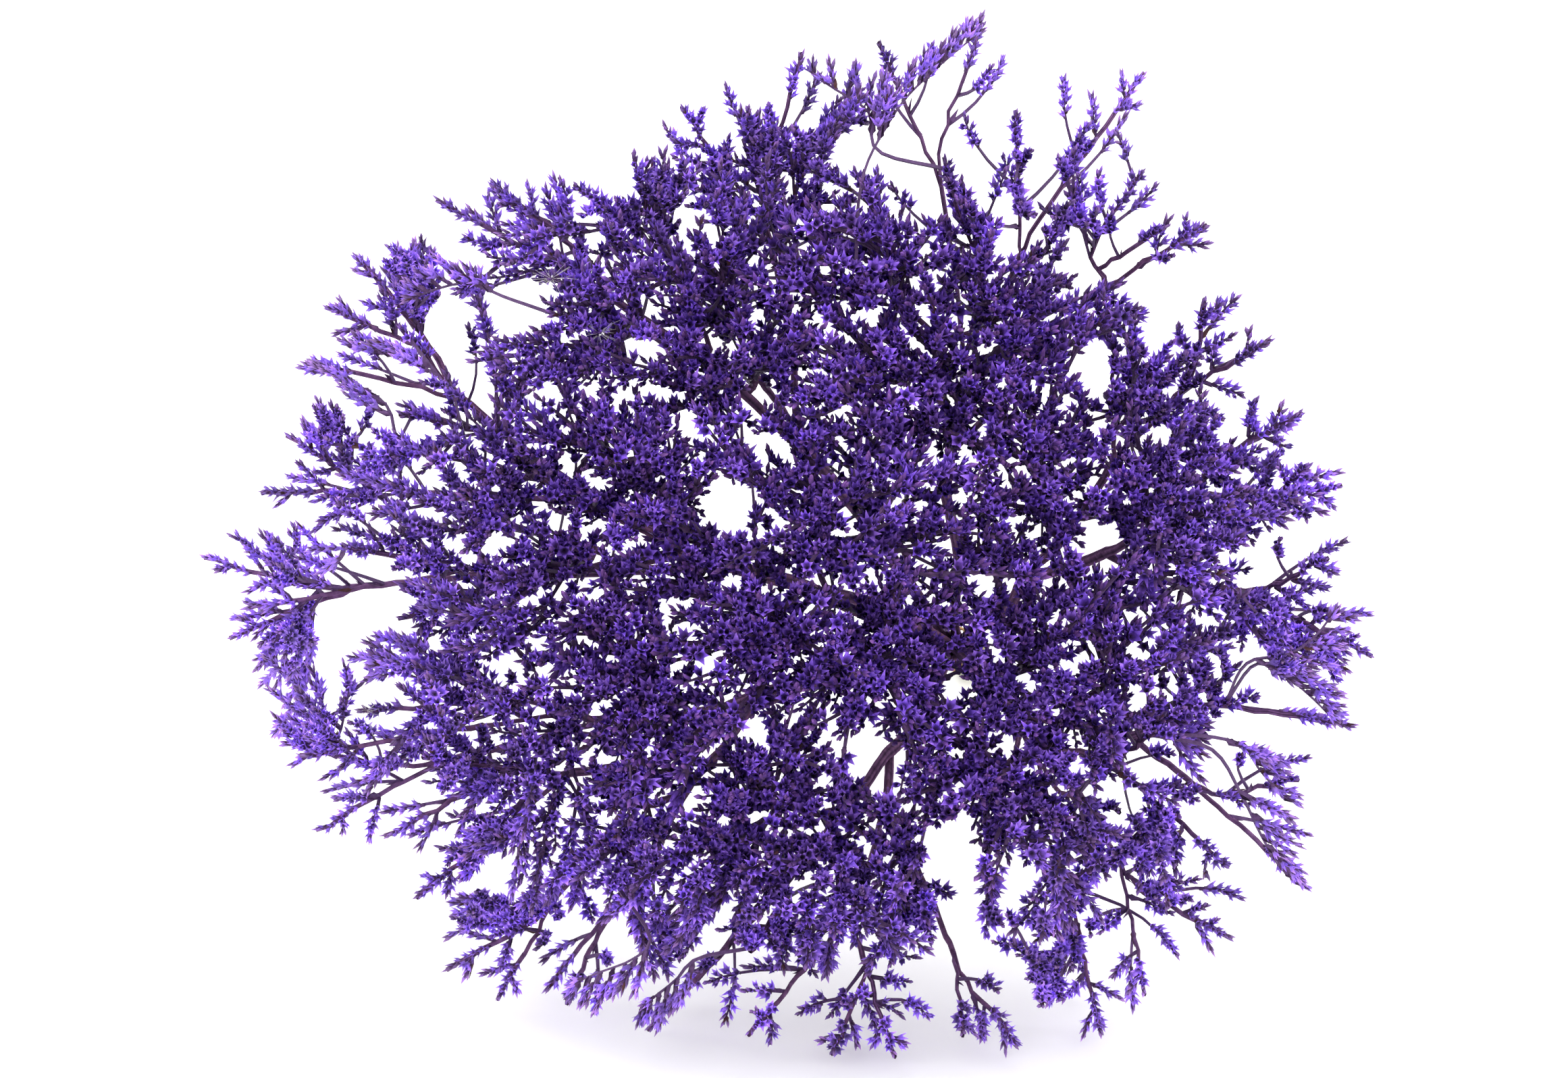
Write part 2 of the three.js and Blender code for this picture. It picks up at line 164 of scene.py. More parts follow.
# The stems' middle lines, the girths and forks of their branches, and the short stalks beside each last twig.
RING_STEMS = 7
FIRST_STEM = 0.25
MIDDLE_STEM = (9.0, -8.0)
HEAD_RING = 98.0
HEAD_RING_BACK = 60.0
TIE_RING = 5.4
TIE_BACK = 400.0
STEM_RADIUS = 2.15
TWIG_RADIUS = 0.75
GIRTH_POWER = 0.42
CUT_SPREAD = 12.0
FORK_BASE = 14.0
FORK_RATE = 1.15
FORK_LEAST = 44.0
FAN_BACK = 200.0
SIDE_SWING = 0.7
FORWARD_SWING = 0.4
SIDE_ROOT = 0.85
CALYX_LOW = 4.8
SIDE_ANGLE = 40.0
ANGLE_PLAY = 6.0
SIDE_STALKS = [(0.3, 0.5), (0.46, 0.42)]
SIDE_ROOM = 15.58
SHARE_MARGIN = 9.4
SHARE_PASSES = 3
SPLITS_TRIED = 4
LEAST_GAIN = 1e-6
UPRIGHT = np.array([0.0, 1.0, 0.2])
FIRST_SEED = 11
SEED_FACTOR = 1664525
SEED_STEP = 1013904223
SEED_RANGE = 2 ** 32

seed = FIRST_SEED


def draw(low, high):
    """The next number of a seeded row, between low and high."""
    global seed
    seed = (seed * SEED_FACTOR + SEED_STEP) % SEED_RANGE
    return low + (high - low) * seed / SEED_RANGE


def dome_point(across, up, layer):
    """A spray's tip on the dome, whose rim is square to the line down to the cut ends."""
    rim = (across * across + up * up) / (HEAD_RADIUS * HEAD_RADIUS)
    lean = -(across * CUT_END[0] + up * CUT_END[1]) / CUT_END[2]
    return np.array([across, up, layer + HEAD_SAG * rim + lean])


def lift_off(point, clearance=CALYX_LOW):
    """Lifts a point of the head that lies too low for the table."""
    rise = TABLE + clearance - (point @ DIRECTIONS)[2]
    return point + max(rise, 0.0) * DIRECTIONS[:, 2]


def place_on_face(points):
    """Where points show, as (across, up), to an eye at the camera."""
    return points[..., :2] / (1 + points[..., 2:] / VIEW_DISTANCE)


def in_gap(point, edge=GAP_EDGE, gaps=GAPS):
    """Whether a point shows in one of the gaps through the head, or within an edge of it."""
    across, up = place_on_face(point)
    return any(math.hypot(across - x, up - y) < radius + edge for x, y, radius in gaps)


def spray_tips():
    """Where the sprays end: along the rim, under it, and on a spiral inside that leaves the gaps free."""
    outer = [dome_point(across * RIM_SPREAD, up * RIM_SPREAD, LAYERS[0]) for across, up in OUTER_SPRAYS]
    tips = outer + [np.array(tip, float) for tip in LOW_SPRAYS]
    for k in range(INNER_SPRAYS):
        reach = INNER_SPACING * math.sqrt(k + 0.5)
        across = INNER_STRETCH[0] * reach * math.cos(k * GOLDEN_ANGLE)
        up = INNER_STRETCH[1] * reach * math.sin(k * GOLDEN_ANGLE)
        tip = dome_point(across, up, LAYERS[INNER_LAYERS[k % len(INNER_LAYERS)]])
        crowded = any(math.hypot(across - other[0], up - other[1]) < CLEAR_OF_OUTER for other in outer)
        if not in_gap(tip) and not crowded:
            tips.append(tip)
    return [lift_off(tip) for tip in tips]


stems = [np.array(MIDDLE_STEM)]
for k in range(RING_STEMS):
    angle = 2 * math.pi * (k + FIRST_STEM) / RING_STEMS
    stems.append(HEAD_RING * np.array([math.cos(angle), math.sin(angle)]))


def stem_point(stem, back):
    """The middle of a stem's share of the bunch, at a distance behind the face."""
    pinched = min(1.0, (back - HEAD_RING_BACK) / (TIE_BACK - HEAD_RING_BACK))
    spread = 1.0 + (TIE_RING / HEAD_RING - 1.0) * pinched
    return CUT_END * back / CUT_END[2] + np.array([*(stems[stem] * spread), 0.0])


def stem_of(point):
    """The stem whose middle line is nearest to a point."""
    reach = [np.linalg.norm(point - stem_point(stem, point[2])) for stem in range(len(stems))]
    return int(np.argmin(reach))


def keep_in_share(point, stem):
    """Moves a point sideways, in a few passes, until it is well inside its stem's share of the bunch."""
    kept = point.copy()
    for _ in range(SHARE_PASSES):
        for other in range(len(stems)):
            if other == stem:
                continue
            here = stem_point(stem, kept[2])
            there = stem_point(other, kept[2])
            out = unit(there - here)
            past = (kept - (here + there) / 2) @ out + SHARE_MARGIN
            kept = kept - max(past, 0.0) * out
    return kept


def tree_of(tips, root):
    """Halves the tips across their widest direction until each is alone, with a fork behind every group."""
    if len(tips) == 1:
        return {"at": tips[0], "carries": 1, "kids": []}
    width, side = -1.0, None
    for k in range(SPLITS_TRIED):
        turned = k * math.pi / SPLITS_TRIED
        direction = np.array([math.cos(turned), math.sin(turned), 0.0])
        reach = [tip @ direction for tip in tips]
        if max(reach) - min(reach) > width + LEAST_GAIN:
            width, side = max(reach) - min(reach), direction
    tips = sorted(tips, key=lambda tip: tip @ side)
    centre = np.mean(tips, axis=0)
    behind = max(FORK_LEAST, FORK_BASE + FORK_RATE * width)
    half = len(tips) // 2
    kids = [tree_of(tips[half:], root), tree_of(tips[:half], root)]
    return {"at": centre + behind * unit(root - centre), "carries": len(tips), "kids": kids}


def bend_of(start, end):
    """The middle of the curve in which a branch swings out and then forwards."""
    forward = -unit(CUT_END)
    ahead = forward * ((end - start) @ forward)
    control = start + SIDE_SWING * (end - start - ahead) + FORWARD_SWING * ahead
    return start / 4 + control / 2 + end / 4


def girth(carries):
    """The radius of a branch that carries a number of sprays."""
    return min(STEM_RADIUS, TWIG_RADIUS * carries ** GIRTH_POWER)


def square_to(axis, side):
    """Two directions square to an axis, the first as near as can be to a given side."""
    first = unit(side - (side @ axis) * axis)
    return first, np.cross(axis, first)


def side_stalk(root, axis, length, stem):
    """Where a side spike ends, in whichever of three directions keeps it furthest from the others."""
    x, y = square_to(axis, UPRIGHT)
    lean = math.radians(SIDE_ANGLE + draw(-ANGLE_PLAY, ANGLE_PLAY))
    best_room, best_tip = -1.0, None
    for k in range(3):
        turned = (2 * k + 1) * math.pi / 3
        out = math.cos(lean) * axis + math.sin(lean) * (math.cos(turned) * x + math.sin(turned) * y)
        tip = lift_off(keep_in_share(root + length * out, stem))
        room = min(np.linalg.norm(other - tip) for other in known_tips)
        if room > best_room + LEAST_GAIN:
            best_room, best_tip = room, tip
    if best_room < SIDE_ROOM:
        return []
    known_tips.append(best_tip)
    return [(root, best_tip)]


def grow_on(path, radii, node, stem):
    """Grows a branch on to a tip through the first kid of every fork, with the second ones rooted in it."""
    aside = []
    start, end = path[-1], node
    while end["kids"]:
        bend = bend_of(start, end["at"])
        root = bend + SIDE_ROOT * (end["at"] - bend)
        path += [bend, root, end["at"]]
        radii += [girth(end["carries"])] * 2 + [girth(end["kids"][0]["carries"])]
        aside.append(([root], [girth(end["kids"][1]["carries"])], end["kids"][1]))
        start, end = end["at"], end["kids"][0]
    for side_path, side_radii, kid in aside:
        grow_on(side_path, side_radii, kid, stem)
    branches[stem].append((np.array(path + [end["at"]]), np.array(radii + [TWIG_RADIUS])))
    axis = unit(end["at"] - start)
    length = np.linalg.norm(end["at"] - start)
    stalks = []
    for root_share, length_share in SIDE_STALKS:
        root = start + root_share * (end["at"] - start)
        stalks += side_stalk(root, axis, length * length_share, stem)
    side_stalks[stem].append(stalks)


cut_backs = [CUT_END[2] - draw(0, CUT_SPREAD) for _ in stems]
known_tips = spray_tips()
shares = [[] for _ in stems]
for tip in list(known_tips):
    shares[stem_of(tip)].append(tip)
branches = [[] for _ in stems]
side_stalks = [[] for _ in stems]
for stem, tips in enumerate(shares):
    tie = stem_point(stem, TIE_BACK)
    tree = tree_of([keep_in_share(tip, stem) for tip in tips], stem_point(stem, FAN_BACK))
    grow_on([stem_point(stem, cut_backs[stem]), tie], [STEM_RADIUS, STEM_RADIUS], tree, stem)

# The skin of the stems. Dried branches are not round: ribs run along them, and they kink a little at every
# few millimetres. The dye makes them mauve, and the ribs are painted lighter, as painted highlight, and the
# grooves nearly black, as painted shade.
STEP = 5.0
SCAPE_SIDES = 12
SCAPE_FROM = 0.95 * STEM_RADIUS
BRANCH_SIDES = 8
BRANCH_FROM = 1.4 * TWIG_RADIUS
TWIG_SIDES = 5
RIB = 0.13
FLATTEN = 0.14
KINK = 0.35
CALYX_OVERHANG = 4.0
GROOVE_COLOUR_WITH_SHADE = np.array([0.028, 0.015, 0.034])
RIB_COLOUR_WITH_HIGHLIGHT = np.array([0.112, 0.056, 0.128])
RUSSET = np.array([0.090, 0.026, 0.018])
STRAW_RIB_WITH_HIGHLIGHT = np.array([0.42, 0.38, 0.19])
STRAW_GROOVE_WITH_SHADE = np.array([0.26, 0.24, 0.10])
CUT_COLOUR = np.array([0.55, 0.50, 0.34])
MOST_RUSSET = 0.35
RUSSET_PATCHES = (0.3, 1.0)
WOOD_SHADES = (0.6, 1.2)
RIM_MIDDLE = (16.0, 0.0)
RIM_FROM = 90.0
RIM_TO = 180.0
RIM_PAINTED_BACKLIGHT = 0.68
RIM_WOOD_PAINTED_BACKLIGHT = 1.8
DYE_ENDS = (425.0, 472.0)
OVER_TABLE = 0.2
GRAIN_DETAIL = 4.0
GRAIN_RANGE = (0.3, 0.7)
GRAIN_HEIGHT = 0.0002
CHANCE_SEED = 5
MIX_FACTOR, MIX_FIRST, MIX_SECOND, MIX_RESULT = 0, 6, 7, 2

chance = np.random.default_rng(CHANCE_SEED)


def lengths_along(points):
    """How far along a line each of its points is."""
    return np.concatenate([[0.0], np.cumsum(np.linalg.norm(np.diff(points, axis=0), axis=1))])


def eased(share):
    """A share from 0 to 1 that starts and ends gently."""
    return share * share * (3 - 2 * share)


def smooth_curve(path, radii, step):
    """A smooth curve through the points of a path, in even steps, with its radius at each."""
    lengths = np.linalg.norm(np.diff(path, axis=0), axis=1)
    places = lengths_along(path)
    slopes = np.diff(path, axis=0) / lengths[:, None]
    tangents = np.empty_like(path)
    tangents[0], tangents[-1] = slopes[0], slopes[-1]
    share = (lengths[:-1] / (lengths[:-1] + lengths[1:]))[:, None]
    tangents[1:-1] = slopes[:-1] * (1 - share) + slopes[1:] * share
    at = np.linspace(0.0, places[-1], max(3, int(round(places[-1] / step)) + 1))
    k = np.clip(np.searchsorted(places, at, side="right") - 1, 0, len(lengths) - 1)
    h = lengths[k][:, None]
    t = ((at - places[k]) / lengths[k])[:, None]
    points = (
        (2 * t ** 3 - 3 * t ** 2 + 1) * path[k] + (t ** 3 - 2 * t ** 2 + t) * h * tangents[k]
        + (3 * t ** 2 - 2 * t ** 3) * path[k + 1] + (t ** 3 - t ** 2) * h * tangents[k + 1]
    )
    return points, np.interp(at, places, radii)


def frames_along(points):
    """The direction of a curve at each of its points, and two directions square to it that do not twist."""
    along = unit(np.gradient(points, axis=0))
    first = np.empty_like(points)
    first[0] = square_to(along[0], UPRIGHT)[0]
    for k in range(1, len(points)):
        carried = first[k - 1] - (first[k - 1] @ along[k]) * along[k]
        first[k] = carried / np.linalg.norm(carried)
    return along, first, np.cross(along, first)


def tube(points, radii, sides, ribs):
    """The skin of a ribbed tube along a curve: its points, ring by ring, and how far each stands on a rib."""
    _, x, y = frames_along(points)
    angles = 2 * math.pi * np.arange(sides) / sides
    on_rib = np.where(np.arange(sides) % 2 == 0, 1.0, 0.0) if ribs else np.full(sides, 0.5)
    reach = radii[:, None] * (1 + RIB * (2 * on_rib - 1))
    wide = (1 + FLATTEN) * np.cos(angles)
    thin = (1 - FLATTEN) * np.sin(angles)
    skin = points[:, None] + (reach * wide)[..., None] * x[:, None] + (reach * thin)[..., None] * y[:, None]
    return skin.reshape(-1, 3), np.tile(on_rib, len(points))


def tube_faces(rings, sides, start):
    """The four-sided faces between the rings of a tube whose points are numbered from start."""
    ring, side = np.meshgrid(np.arange(rings - 1), np.arange(sides), indexing="ij")
    here = start + ring * sides + side
    beside = start + ring * sides + (side + 1) % sides
    return np.stack([here, beside, beside + sides, here + sides], axis=-1).reshape(-1, 4)


def at_rim(points):
    """How near the rim of the head points are, from 0 to 1. The sprays there are painted lighter, as painted
    backlight.
    """
    reach = np.hypot(points[:, 0] - RIM_MIDDLE[0], points[:, 1] - RIM_MIDDLE[1])
    return np.clip((reach - RIM_FROM) / (RIM_TO - RIM_FROM), 0, 1)


def mesh_piece(name, points, faces, colours, material, smooth):
    """One piece of the bunch, riding on the frame, from points in its own millimetres and their colours."""
    placed = in_frame(points)
    placed[:, 2] = np.maximum(placed[:, 2], OVER_TABLE * MM)
    mesh = bpy.data.meshes.new(name)
    mesh.from_pydata(placed.tolist(), [], faces)
    paint = mesh.color_attributes.new("dye_and_painted_light", "FLOAT_COLOR", "POINT")
    paint.data.foreach_set("color", np.column_stack([colours, np.ones(len(colours))]).ravel())
    mesh.polygons.foreach_set("use_smooth", [smooth] * len(mesh.polygons))
    mesh.materials.append(material)
    piece = bpy.data.objects.new(name, mesh)
    bpy.context.scene.collection.objects.link(piece)
    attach(piece, "root")
    return piece


def new_material(name, roughness, specular):
    """A material with its nodes, and the shader that they feed."""
    material = bpy.data.materials.new(name)
    material.use_nodes = True
    shader = material.node_tree.nodes["Principled BSDF"]
    shader.inputs["Roughness"].default_value = roughness
    shader.inputs["Specular IOR Level"].default_value = specular
    return material, shader


def link(material, source, target):
    """Joins two sockets of a material."""
    material.node_tree.links.new(source, target)


def node(material, kind, **values):
    """A new node of a material, with its settings, or the values of its sockets, given by name."""
    made = material.node_tree.nodes.new(kind)
    for name, value in values.items():
        if hasattr(made, name):
            setattr(made, name, value)
        else:
            made.inputs[name.replace("_", " ")].default_value = value
    return made


def dyed(material, shader, scale, depth, bump):
    """Feeds a shader the painted dye with its painted light and shade, blotched by noise at a scale, with a fine
    relief of the same grain.
    """
    paint = node(material, "ShaderNodeAttribute", attribute_name="dye_and_painted_light")
    place = node(material, "ShaderNodeTexCoord")
    grain = node(material, "ShaderNodeTexNoise", Scale=scale, Detail=GRAIN_DETAIL)
    link(material, place.outputs["Object"], grain.inputs["Vector"])
    shade = node(
        material, "ShaderNodeMapRange",
        From_Min=GRAIN_RANGE[0], From_Max=GRAIN_RANGE[1], To_Min=1 - depth, To_Max=1 + depth,
    )
    link(material, grain.outputs["Fac"], shade.inputs["Value"])
    blotched = node(material, "ShaderNodeMix", data_type="RGBA", blend_type="MULTIPLY")
    blotched.inputs[MIX_FACTOR].default_value = 1.0
    link(material, paint.outputs["Color"], blotched.inputs[MIX_FIRST])
    link(material, shade.outputs["Result"], blotched.inputs[MIX_SECOND])
    link(material, blotched.outputs[MIX_RESULT], shader.inputs["Base Color"])
    relief = node(material, "ShaderNodeBump", Strength=bump, Distance=GRAIN_HEIGHT)
    link(material, grain.outputs["Fac"], relief.inputs["Height"])
    link(material, relief.outputs["Normal"], shader.inputs["Normal"])


def sides_of(widest):
    """How many sides a branch has, by its greatest radius. Scapes and branches have ribs, and twigs none."""
    if widest > SCAPE_FROM:
        return SCAPE_SIDES
    return BRANCH_SIDES if widest > BRANCH_FROM else TWIG_SIDES


def kinked(points, girths):
    """A line with small kinks, the smaller the thicker it is there, and none at its ends."""
    kinks = chance.normal(0.0, KINK, points.shape)
    kinks[0] = 0.0
    kinks[-1] = 0.0
    kinks *= np.clip(TWIG_RADIUS / girths, 0.0, 1.0)[:, None] ** 2
    return points + kinks


def wood_dye(skin, on_rib):
    """The colours of a branch: mauve and russet ribs with painted highlight, grooves with painted shade, straw
    where the dye ends, and painted backlight at the rim.
    """
    undyed = eased(np.clip((skin[:, 2] - DYE_ENDS[0]) / (DYE_ENDS[1] - DYE_ENDS[0]), 0, 1)[:, None])
    russet = chance.uniform(0.0, MOST_RUSSET) * chance.uniform(*RUSSET_PATCHES, (len(skin), 1))
    groove = GROOVE_COLOUR_WITH_SHADE * (1 - undyed) + STRAW_GROOVE_WITH_SHADE * undyed
    rib = (RIB_COLOUR_WITH_HIGHLIGHT * (1 - russet) + RUSSET * russet) * (1 - undyed) + STRAW_RIB_WITH_HIGHLIGHT * undyed
    paint = groove + (rib - groove) * on_rib[:, None] * chance.uniform(*WOOD_SHADES, (len(skin), 1))
    # Towards the rim the branches are painted lighter, as painted backlight.
    return paint * (1 + RIM_WOOD_PAINTED_BACKLIGHT * at_rim(skin)[:, None])


wood, wood_shader = new_material("dyed stem", roughness=0.8, specular=0.0)
dyed(wood, wood_shader, scale=420.0, depth=0.35, bump=0.6)

curves = [[] for _ in stems]
for stem in range(len(stems)):
    skins, paints, faces, count = [], [], [], 0
    for path, radii in branches[stem]:
        path[-1] -= CALYX_OVERHANG * unit(path[-1] - path[-2])
        points, girths = smooth_curve(path, radii, STEP)
        points = kinked(points, girths)
        curves[stem].append(points)
        sides = sides_of(girths.max())
        skin, on_rib = tube(points, girths, sides, sides != TWIG_SIDES)
        skins.append(skin)
        paints.append(wood_dye(skin, on_rib))
        faces += tube_faces(len(points), sides, count).tolist()
        if path[0][2] > TIE_BACK:
            skins.append(points[:1])
            paints.append(CUT_COLOUR[None])
            faces += [[count + (k + 1) % sides, count + k, count + len(skin)] for k in range(sides)]
            count += 1
        count += len(skin)
    piece = mesh_piece(
        f"stem_{stem + 1}_branches", np.vstack(skins), faces, np.vstack(paints), wood, True,
    )
    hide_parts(f"stem_{stem + 1}")

# The spikes of calyces. The last twigs carry short, curved spikes, each set with two rows of papery calyces
# that face forwards: a narrow tube in a dark, pointed bract, and a funnel of five sharp teeth, which has
# taken the dye best. The calyces are open near the foot of a spike and still shut at its tip.
SPIKE_SPACING = 3.32
SPIRAL_STEP = SPIKE_SPACING * math.sqrt(math.sqrt(3) / (2 * math.pi))
SPIRAL_PLAY = 0.9
HEAD_REACH = 200.0
THINS_OUT = ((75.0, 150.0), (1.0, 0.38))
BODY_EDGE = 6.0
BODY_SPLAY = 0.45
RIM_DEPTH = 24.0
RIM_SPRAY = 118.0
FEATHER_LENGTH = 62.0
FEATHER_FIRST = 13.0
FEATHER_STEP = 7.6
FEATHER_ANGLE = math.radians(43)
FEATHER_ROLL = 0.45
FEATHER_SPIKE = (3.0, 0.42, 25.0)
FEATHER_END = 3
ARCH_LAYER = 14.0
ARCH_BARE = 0.4
ARCH_STEP = 5.4
ARCH_SPIKES = (16.0, 6.0)
ARCH_ANGLE = math.radians(50)
ARCH_ANGLE_PLAY = 0.12
ARCH_TIP_SHARE = 0.5
ARCH_CLEAR = 12.0
SPIKE_GAP_EDGE = 2.2
SHELL = (4.0, 56.0)
THICKEST = (22.0, 0.0)
TIP_CLEARANCE = 4.0
ROOT_CHOICES = 6
LEAST_SPIKE = 18.0
LEAN_COST = 2.2
STEEPEST = 0.25
CROWD_REACH = 3.0
CROWD_COST = 5.0
SPIKE_BENDS = 5
SPIKE_END = 4
CURVE_REACH = 0.5
CURVE_DIRECT = 0.6
CURVE_PLAY = 0.05
CURL = 0.5
FLOWERING = (11.5, 17.0)
FLOWERING_MOST = 0.9
LEAST_CALYCES = 4
CALYX_STEP = (2.1, 1.6)
CALYX_SIZE = (1.0, 0.74)
LAST_CALYX = 2.6
AXIS_STEP = 2.0
SHUT_CALYCES = (0.0, 3.0)
OPENS_OVER = 2.5
LEAST_LEAN = math.radians(16)
MOST_LEAN = (math.radians(72), math.radians(26))
TIP_LEANS_FROM = 1.5
TIP_LEANS_OVER = 4
LEAST_TURN = 4.0
CALYX_TURN = (38.0, 72.0)
CALYX_PLAY = (0.75, 1.15)
CALYX_SIZES = (0.82, 1.12)
SPIKE_SPLAY = 0.6
SPIKE_TONES = 0.2
TONE_LIMITS = (0.5, 1.5)
LENGTH_PLAY = (0.75, 1.2)
STEP_PLAY = (0.7, 1.3)
SHARE_PLAY = (0.8, 1.15)
LAST_TWIG_POINTS = 5
LAST_TWIG_SHARE = 1.4
BRACT_SIZES = (0.9, 1.4)
ROOTS_PER_SPIKE = 12
NEW_ROOT_LEAST = 0.65 * FLOWERING[0]
TOWARDS_FACE = np.array([0.05, 0.25, -1.0])
TABLE_CLEARANCE = 3.0

calyces = [[] for _ in stems]
bracts = [[] for _ in stems]
stalks_of = [[] for _ in stems]


def seen_at(across, up, layer):
    """A point of the dome that the camera sees at a place of the face."""
    nearer = 1 + dome_point(across, up, layer)[2] / VIEW_DISTANCE
    return dome_point(across * nearer, up * nearer, layer)


def in_body(across, up):
    """Whether a line of sight meets the body of the head, inside the feathered ends of its outer sprays."""
    for x, y in OUTER_SPRAYS:
        reach = math.hypot(x, y)
        inward = (x * (x - across) + y * (y - up)) / reach - RIM_DEPTH
        beside = abs(x * up - y * across) / reach
        if 0 < inward < reach and beside < BODY_EDGE + BODY_SPLAY * inward:
            return True
    return False


def spike_ends():
    """Where the spikes end: on a spiral over the face, at any depth of the dome's shell, fewer at the rim."""
    found = []
    tips = np.array(known_tips)
    for k in range(int((HEAD_REACH / SPIRAL_STEP) ** 2)):
        reach = SPIRAL_STEP * math.sqrt(k + 0.5)
        across = reach * math.cos(k * GOLDEN_ANGLE) + chance.normal(0.0, SPIRAL_PLAY)
        up = reach * math.sin(k * GOLDEN_ANGLE) + chance.normal(0.0, SPIRAL_PLAY)
        end = seen_at(across, up, chance.uniform(*SHELL))
        to_rim = math.hypot(across - THICKEST[0], up - THICKEST[1])
        kept = chance.uniform() < np.interp(to_rim, *THINS_OUT) and in_body(across, up)
        full = any(math.hypot(across - x, up - y) < radius for x, y, radius in FULL)
        if not (kept or full) or in_gap(end, SPIKE_GAP_EDGE, GAPS + BARE):
            continue
        end = lift_off(end)
        if np.min(np.hypot(*(tips[:, :2] - end[:2]).T)) > TIP_CLEARANCE:
            found.append(end)
    return np.array(found)


def spike(stem, points, share=1.0):
    """Sets a spike along given points, with calyces that face forwards over its last stretch."""
    points = np.array([lift_off(point, TABLE_CLEARANCE) for point in points])
    stalks_of[stem].append(points)
    lengths = lengths_along(points)
    flowering, step, size, most_lean, most_turn = (
        np.interp(at_rim(points[-1:])[0], (0, 1), ends)
        for ends in (FLOWERING, CALYX_STEP, CALYX_SIZE, MOST_LEAN, CALYX_TURN)
    )
    count = max(LEAST_CALYCES, int(min(share * flowering, FLOWERING_MOST * lengths[-1]) / step) + 1)
    rows = np.arange(count)
    places = lengths[-1] - LAST_CALYX - step * rows * rows / (rows + 2)
    at = np.column_stack([np.interp(places, lengths, points[:, k]) for k in range(3)])
    before = np.column_stack([np.interp(places - AXIS_STEP, lengths, points[:, k]) for k in range(3)])
    shut = chance.uniform(*SHUT_CALYCES)
    tone = float(np.clip(chance.normal(1.0, SPIKE_TONES), *TONE_LIMITS))
    for k in range(count):
        along = unit(at[k] - before[k]) if places[k] > AXIS_STEP else unit(points[1] - points[0])
        face, beside = square_to(along, TOWARDS_FACE)
        turned_away = math.acos(float(np.clip(along @ unit(TOWARDS_FACE), -1.0, 1.0)))
        lean = min(max(turned_away, LEAST_LEAN), most_lean)
        lean *= min(1.0, (k + TIP_LEANS_FROM) / TIP_LEANS_OVER) * chance.uniform(*CALYX_PLAY)
        turned = (1 if k % 2 else -1) * math.radians(chance.uniform(LEAST_TURN, most_turn))
        out = math.cos(turned) * face + math.sin(turned) * beside
        axis = math.cos(lean) * along + math.sin(lean) * out
        open_share = min(max((k - shut) / OPENS_OVER, 0.0), 1.0) * chance.uniform(*CALYX_PLAY)
        calyces[stem].append((at[k], axis, beside, size * chance.uniform(*CALYX_SIZES), open_share, tone))


def set_bract(stem, root, axis, out):
    """Puts a bract at the root of a spike."""
    bracts[stem].append((root, axis, out, chance.uniform(*BRACT_SIZES)))


def closes_gap(points):
    """Whether a spike's last points would show in a gap or in a bare place."""
    return any(in_gap(point, SPIKE_GAP_EDGE, GAPS + BARE) for point in points)


def curved(root, end, heading):
    """The points of a stalk that leaves its root sideways and has turned to a heading at its end."""
    reach = np.linalg.norm(end - root)
    control = end - CURVE_REACH * reach * unit(heading + CURVE_DIRECT * (end - root) / reach)
    control = control + chance.normal(0.0, CURVE_PLAY * reach, 3)
    t = np.linspace(0, 1, SPIKE_BENDS + 1)[:, None]
    return (1 - t) ** 2 * root + 2 * t * (1 - t) * control + t ** 2 * end


def feather(stem, points, along):
    """Sets the end of an outer spray with side spikes, to the left and to the right in turn."""
    lengths = lengths_along(points)
    back = FEATHER_FIRST
    hand = chance.choice([-1, 1])
    while back < min(FEATHER_LENGTH, FLOWERING_MOST * lengths[-1]):
        k = int(np.searchsorted(lengths, lengths[-1] - back))
        side = hand * unit(np.cross(along[k], [0.0, 0.0, 1.0]))
        roll = chance.normal(0.0, FEATHER_ROLL)
        out = math.cos(roll) * side + math.sin(roll) * np.cross(along[k], side)
        out = math.cos(FEATHER_ANGLE) * along[k] + math.sin(FEATHER_ANGLE) * out
        shortest, growth, longest = FEATHER_SPIKE
        reach = min(shortest + growth * back, longest) * chance.uniform(*LENGTH_PLAY)
        stalk = curved(points[k], points[k] + reach * out, unit(out + CURL * along[k]))
        if not closes_gap(stalk[-FEATHER_END:]):
            spike(stem, stalk)
            set_bract(stem, points[k], out, side)
        back += FEATHER_STEP * chance.uniform(*STEP_PLAY)
        hand = -hand


def arch(path):
    """Grows a thin twig along an arch, with spikes on the side away from the middle of the head."""
    places = [seen_at(*place, ARCH_LAYER) for place in path]
    nearest = int(np.argmin(np.linalg.norm(np.array(roots) - places[0], axis=1)))
    stem = owners[nearest]
    points, _ = smooth_curve(np.array([roots[nearest]] + places), np.ones(len(places) + 1), STEP)
    spike(stem, points, ARCH_TIP_SHARE)
    lengths = lengths_along(points)
    along = frames_along(points)[0]
    at = ARCH_BARE
    while at < 1.0 - LAST_CALYX / lengths[-1]:
        k = int(np.searchsorted(lengths, at * lengths[-1]))
        outward = unit(points[k] * [1.0, 1.0, 0.0])
        angle = ARCH_ANGLE + chance.normal(0.0, ARCH_ANGLE_PLAY)
        out = math.cos(angle) * along[k] + math.sin(angle) * square_to(along[k], outward)[0]
        reach = np.interp(at, (ARCH_BARE, 1.0), ARCH_SPIKES) * chance.uniform(*LENGTH_PLAY)
        spike(stem, curved(points[k], points[k] + reach * out, unit(out + CURL * outward)))
        set_bract(stem, points[k], out, outward)
        at += ARCH_STEP * chance.uniform(*STEP_PLAY) / lengths[-1]


def near_arch(point):
    """Whether a point shows so near an arch that the arch's own spikes fill its surroundings."""
    across, up = place_on_face(point)
    return any(math.hypot(across - x, up - y) < ARCH_CLEAR for path in ARCHES for x, y in path)


